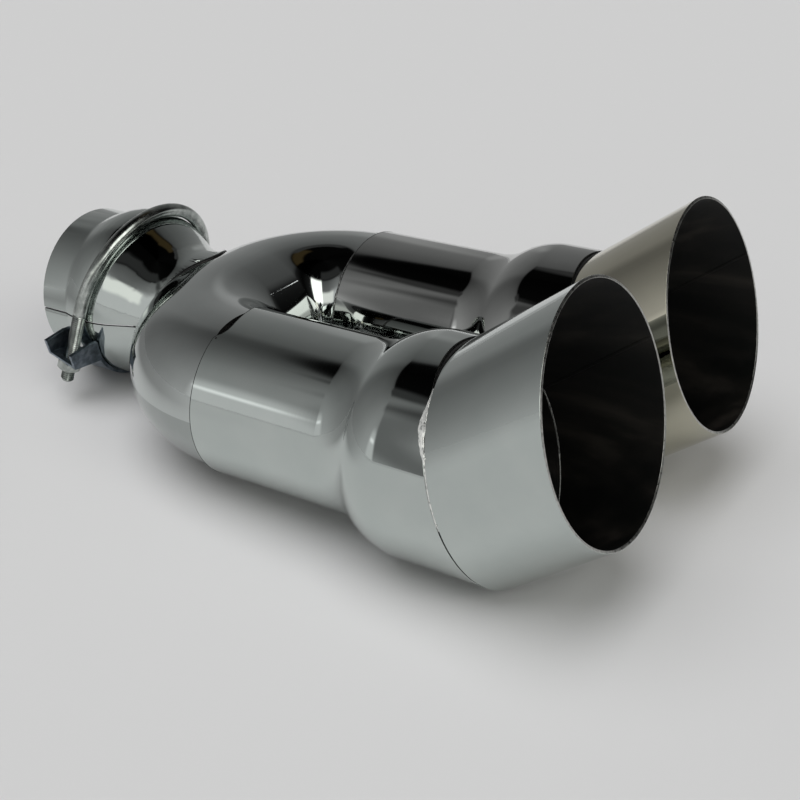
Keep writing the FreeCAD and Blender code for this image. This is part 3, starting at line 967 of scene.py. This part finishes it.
# Stage

# Heights in degrees above the horizon, and the wall's colour there
WALL_STOPS = [(-90, "#8E8E8E"), (0, "#8E8E8E"), (10, "#858585"), (20, "#7F7F7F"), (30, "#767676"),
              (40, "#6D6D6D"), (47, "#636363"), (52, "#5B5B5B"), (54.2, "#4E4E4E"), (55.6, "#1C1C1C"),
              (56.4, "#060606"), (90, "#060606")]
# Headings in degrees from +X toward +Y, and how bright the walls are there
FIRST_HEADING = 60.0
TONE_GAIN = 2.0
TONE_STOPS = [(60, 0.1), (63, 0.14), (66, 0.35), (72, 0.6), (84, 0.74), (100, 0.84), (114, 0.95),
              (120, 1.1), (126, 1.15), (135, 1.2), (147, 1.2), (156, 1.15), (160, 0.98), (164, 0.8),
              (167, 0.72), (174, 0.74), (180, 0.85), (186, 0.97), (192, 1.08), (198, 1.21), (204, 1.38),
              (210, 1.55), (216, 1.75), (222, 1.9), (250, 1.9), (290, 1.2), (372, 0.8), (380, 0.1),
              (402, 0.02), (408, 0.02), (414, 0.05), (420, 0.1)]
# Panels over the walls: lean in degrees of heading for each degree of height, heading range and
# softness, height range and softness, colour, level
PANELS = [
    ("high_panel", 0.0, (66, 112, 4), (56.5, 67, 2), "#3A301E", 1.0),
    ("mid_panel", 0.0, (104, 142, 4), (54, 59.5, 1), "#3C3C3C", 1.0),
    ("ceiling_edge", 0.0, (228, 325, 6), (56, 69, 3), "#343434", 1.0),
    ("low_beam", 0.0, (203, 217, 4), (52, 57, 1.5), "#3C3C3C", 1.0),
    ("left_strip", 0.0, (120, 126, 3), (0, 24, 6), "#A0A0A0", 1.0),
    ("right_wall", 0.3, (247, 290, 2), (-10, 36, 6), "#DCDCDC", 1.0),
    ("white_board", 0.0, (226, 238, 3), (-6, 23, 5), "#D8D8D8", 1.0),
    ("lamp_tube", 0.0, (227.5, 234, 2.5), (14, 17, 1.6), "#FFFFFF", 1.2),
    ("dark_post", 0.3, (240, 246, 2.5), (-12, 44, 3), "#767676", 1.0),
    ("dark_corner", 0.0, (222, 235, 4), (42, 56, 4), "#4C4C4C", 1.0),
    ("low_window", 0.0, (262, 325, 4), (19, 35.5, 3), "#FFFFFA", 1.15),
    ("window", 0.0, (323, 372, 3), (18, 54, 3), "#FFFFFA", 2.4),
    ("lamp", 0.0, (60.9, 61.3, 0.2), (33.8, 34.2, 0.2), "#FFFFFF", 6.0),
]
# Sockets of a Mix node that blends colours
MIX_SHARE = 0
MIX_UNDER = 6
MIX_OVER = 7
MIX_RESULT = 2
FILL_SUN = 2.27
FILL_ANGLE = math.radians(60)
FILL_COLOUR = (0.985, 0.985, 1.0)
FILL_TURN = (math.radians(14), math.radians(-6), 0)


def studio_world():
    """A grey room: pale walls that fade upward, a black ceiling, one large window and a few posts."""
    world = bpy.data.worlds.new("studio_world")
    bpy.context.scene.world = world
    world.use_nodes = True
    tree = world.node_tree
    tree.nodes.clear()
    coords = add_node(tree, "ShaderNodeTexCoord")
    axes = add_node(tree, "ShaderNodeSeparateXYZ", {"Vector": coords.outputs["Generated"]})
    rise = add_node(tree, "ShaderNodeMath", {0: axes.outputs["Z"]}, operation="ARCSINE")
    height = add_node(tree, "ShaderNodeMath", {0: rise.outputs[0], 1: math.degrees(1)},
                      operation="MULTIPLY")
    turn = add_node(tree, "ShaderNodeMath", {0: axes.outputs["Y"], 1: axes.outputs["X"]},
                    operation="ARCTAN2")
    degrees = add_node(tree, "ShaderNodeMath", {0: turn.outputs[0], 1: math.degrees(1)},
                       operation="MULTIPLY")
    heading = add_node(tree, "ShaderNodeMath",
                       {0: degrees.outputs[0], 1: FIRST_HEADING + 360.0, 2: FIRST_HEADING},
                       operation="WRAP")

    fall = add_node(tree, "ShaderNodeMapRange",
                    {"Value": height.outputs[0], "From Min": -90.0, "From Max": 90.0})
    wall = add_node(tree, "ShaderNodeValToRGB", {"Fac": fall.outputs["Result"]})
    set_stops(wall, [((h + 90) / 180, linear(c)) for h, c in WALL_STOPS])
    sweep = add_node(tree, "ShaderNodeMapRange",
                     {"Value": heading.outputs[0], "From Min": FIRST_HEADING,
                      "From Max": FIRST_HEADING + 360.0})
    tone = add_node(tree, "ShaderNodeValToRGB", {"Fac": sweep.outputs["Result"]})
    stops = []
    for angle, level in TONE_STOPS:
        grey = level / TONE_GAIN
        stops.append(((angle - FIRST_HEADING) / 360, (grey, grey, grey, 1)))
    set_stops(tone, stops)
    room = add_node(tree, "ShaderNodeMix", {"Factor": 1.0}, data_type="RGBA", blend_type="MULTIPLY")
    tree.links.new(wall.outputs["Color"], room.inputs[MIX_UNDER])
    tree.links.new(tone.outputs["Color"], room.inputs[MIX_OVER])
    gain = add_node(tree, "ShaderNodeVectorMath", {0: room.outputs[MIX_RESULT], "Scale": TONE_GAIN},
                    operation="SCALE")
    colour = gain.outputs["Vector"]

    for name, lean, (a0, a1, a_soft), (h0, h1, h_soft), hex_colour, level in PANELS:
        leaning = add_node(tree, "ShaderNodeMath", {0: height.outputs[0], 1: lean, 2: heading.outputs[0]},
                           operation="MULTIPLY_ADD")
        mask = None
        for value, low, high, soft in ((leaning, a0, a1, a_soft), (height, h0, h1, h_soft)):
            for start, end in ((low - soft, low + soft), (high + soft, high - soft)):
                edge = add_node(tree, "ShaderNodeMapRange",
                                {"Value": value.outputs[0], "From Min": start, "From Max": end},
                                interpolation_type="SMOOTHSTEP")
                if mask is None:
                    mask = edge.outputs["Result"]
                else:
                    both = add_node(tree, "ShaderNodeMath", {0: mask, 1: edge.outputs["Result"]},
                                    operation="MULTIPLY")
                    mask = both.outputs[0]
        over = add_node(tree, "ShaderNodeMix", data_type="RGBA", name=name)
        tree.links.new(mask, over.inputs[MIX_SHARE])
        tree.links.new(colour, over.inputs[MIX_UNDER])
        over.inputs[MIX_OVER].default_value = linear(hex_colour, level)
        colour = over.outputs[MIX_RESULT]

    light = add_node(tree, "ShaderNodeBackground", {"Color": colour, "Strength": 1.0})
    add_node(tree, "ShaderNodeOutputWorld", {"Surface": light.outputs["Background"]})


def make_floor():
    slope = LEG_CONTACT - FLARE_CONTACT
    tilt = math.atan2(slope.z, -slope.x)
    deselect()
    bpy.ops.mesh.primitive_plane_add(size=FLOOR_SIZE, location=FLARE_CONTACT, rotation=(0, tilt, 0))
    floor = bpy.context.object
    floor.name = "floor"
    bpy.ops.object.transform_apply(location=True, rotation=True, scale=True)
    floor.data.materials.append(floor_with_painted_shade())


def make_lights():
    data = bpy.data.lights.new("ceiling_fill", "SUN")
    data.energy = FILL_SUN
    data.angle = FILL_ANGLE
    data.color = FILL_COLOUR
    sun = bpy.data.objects.new("ceiling_fill", data)
    sun.rotation_euler = FILL_TURN
    sun.visible_glossy = False
    bpy.context.scene.collection.objects.link(sun)


def make_camera():
    level = math.cos(CAMERA_PITCH)
    back = Vector((math.sin(CAMERA_YAW) * level, -math.cos(CAMERA_YAW) * level, math.sin(CAMERA_PITCH)))
    right = Vector((math.cos(CAMERA_YAW), math.sin(CAMERA_YAW), 0))
    up = back.cross(right)
    rolled_right = right * math.cos(CAMERA_ROLL) + up * math.sin(CAMERA_ROLL)
    rolled_up = up * math.cos(CAMERA_ROLL) - right * math.sin(CAMERA_ROLL)
    data = bpy.data.cameras.new("camera")
    data.lens = CAMERA_LENS
    data.sensor_width = SENSOR_WIDTH
    data.clip_start = 0.01
    camera = bpy.data.objects.new("camera", data)
    place = Matrix((rolled_right, rolled_up, back)).transposed().to_4x4()
    place.translation = CAMERA_LOOK + back * CAMERA_DISTANCE
    camera.matrix_world = place
    bpy.context.scene.collection.objects.link(camera)
    bpy.context.scene.camera = camera


def main():
    random.seed(SEED)
    bpy.context.scene.view_settings.view_transform = "Standard"
    make_camera()
    studio_world()
    make_lights()
    make_floor()

    cold = chrome_plate("chrome_plated_tube", ("#BDC4C1", "#C3C9C6"), (0.02, 0.07), 0.1)
    plain = chrome_plate("chrome_plated_far_tube", ("#B4B6B4", "#BABCBA"), (0.02, 0.07), 0.1)
    warm = chrome_plate("chrome_plated_warm_tip", ("#C3C0B0", "#C9C6B5"), (0.02, 0.06), 0.08)
    upper = chrome_plate("chrome_plated_upper_pressing", ("#BCC1BF", "#C2C7C5"), (0.03, 0.09), 0.2)
    # The lower pressing is the upper one's chrome, a little hazier and painted darker as shade under the
    # bend
    lower = chrome_plate("chrome_lower_pressing_painted_shade", ("#A0A5A3", "#A8ADAB"), (0.05, 0.12), 0.2)
    soot = sooty_bore()
    edge = cut_edge()
    weld = weld_steel("bright_weld_bead", ("#4C4E4D", "#DADCD9", "#FFFFFA"), 0.65)
    dull_weld = weld_steel("plated_weld_bead", ("#3C3E3D", "#7E807E", "#A9ABA8"), 0.9)
    dark_root_and_shade = dark_root_and_painted_shade()
    rod = zinc_plate("bright_zinc_on_rod",
                     ("#8A908D", "#ABB0AC", "#CBCFCB"), (0.16, 0.28), ROD_MOTTLE, 0.06)
    plate = zinc_plate("dull_zinc_on_plate",
                       ("#59626A", "#76808A", "#98A2AB"), (0.3, 0.5), PLATE_MOTTLE, 0.2)

    dress(make_sleeve("near_sleeve_skin", -1, 0.0, SEAM_X, cold, soot, dull_weld), "near_sleeve")
    dress(make_sleeve("far_sleeve_skin", 1, -FAR_SHIFT, FAR_SEAM_X, plain, soot, dull_weld),
          "far_sleeve")
    dress(make_tip("near_tip_skin", -1, SEAM_X, TIP_LENGTH, cold, soot, edge, dark_root_and_shade), "near_tip")
    dress(make_tip("far_tip_skin", 1, FAR_SEAM_X, FAR_TIP_LENGTH, warm, soot, edge, dark_root_and_shade),
          "far_tip")
    # The bend's rims take the dark weld root colour, which also paints the shade in the seam at mid height
    dress(make_bend_shell("upper_bend_skin", True, upper, soot, dark_root_and_shade), "upper_bend_shell")
    dress(make_bend_shell("lower_bend_skin", False, lower, soot, dark_root_and_shade), "lower_bend_shell")
    dress(make_inlet(cold, soot, edge), "inlet_tube")
    dress(make_neck_bead("inlet_weld_bead", upper, dark_root_and_shade), "inlet_weld")
    dress(make_tip_bead("near_tip_weld_bead", -1, SEAM_X, NEAR_TIP_WELD, NEAR_TIP_SPATTER, weld, dark_root_and_shade),
          "near_tip_weld")
    dress(make_tip_bead("far_tip_weld_bead", 1, FAR_SEAM_X, FAR_TIP_WELD, FAR_TIP_SPATTER, weld, dark_root_and_shade),
          "far_tip_weld")
    dress(make_sleeve_bead("near_sleeve_weld_bead", -1, 0.0, dull_weld, dark_root_and_shade),
          "near_sleeve_weld")
    dress(make_sleeve_bead("far_sleeve_weld_bead", 1, -FAR_SHIFT, dull_weld, dark_root_and_shade),
          "far_sleeve_weld")
    dress(make_u_bolt("u_bolt_rod", rod), "u_bolt")
    dress(make_nut("near_nut_hex", -1, rod), "near_nut")
    dress(make_nut("far_nut_hex", 1, rod), "far_nut")
    dress(make_saddle("saddle_plate", plate), "clamp_saddle")


main()
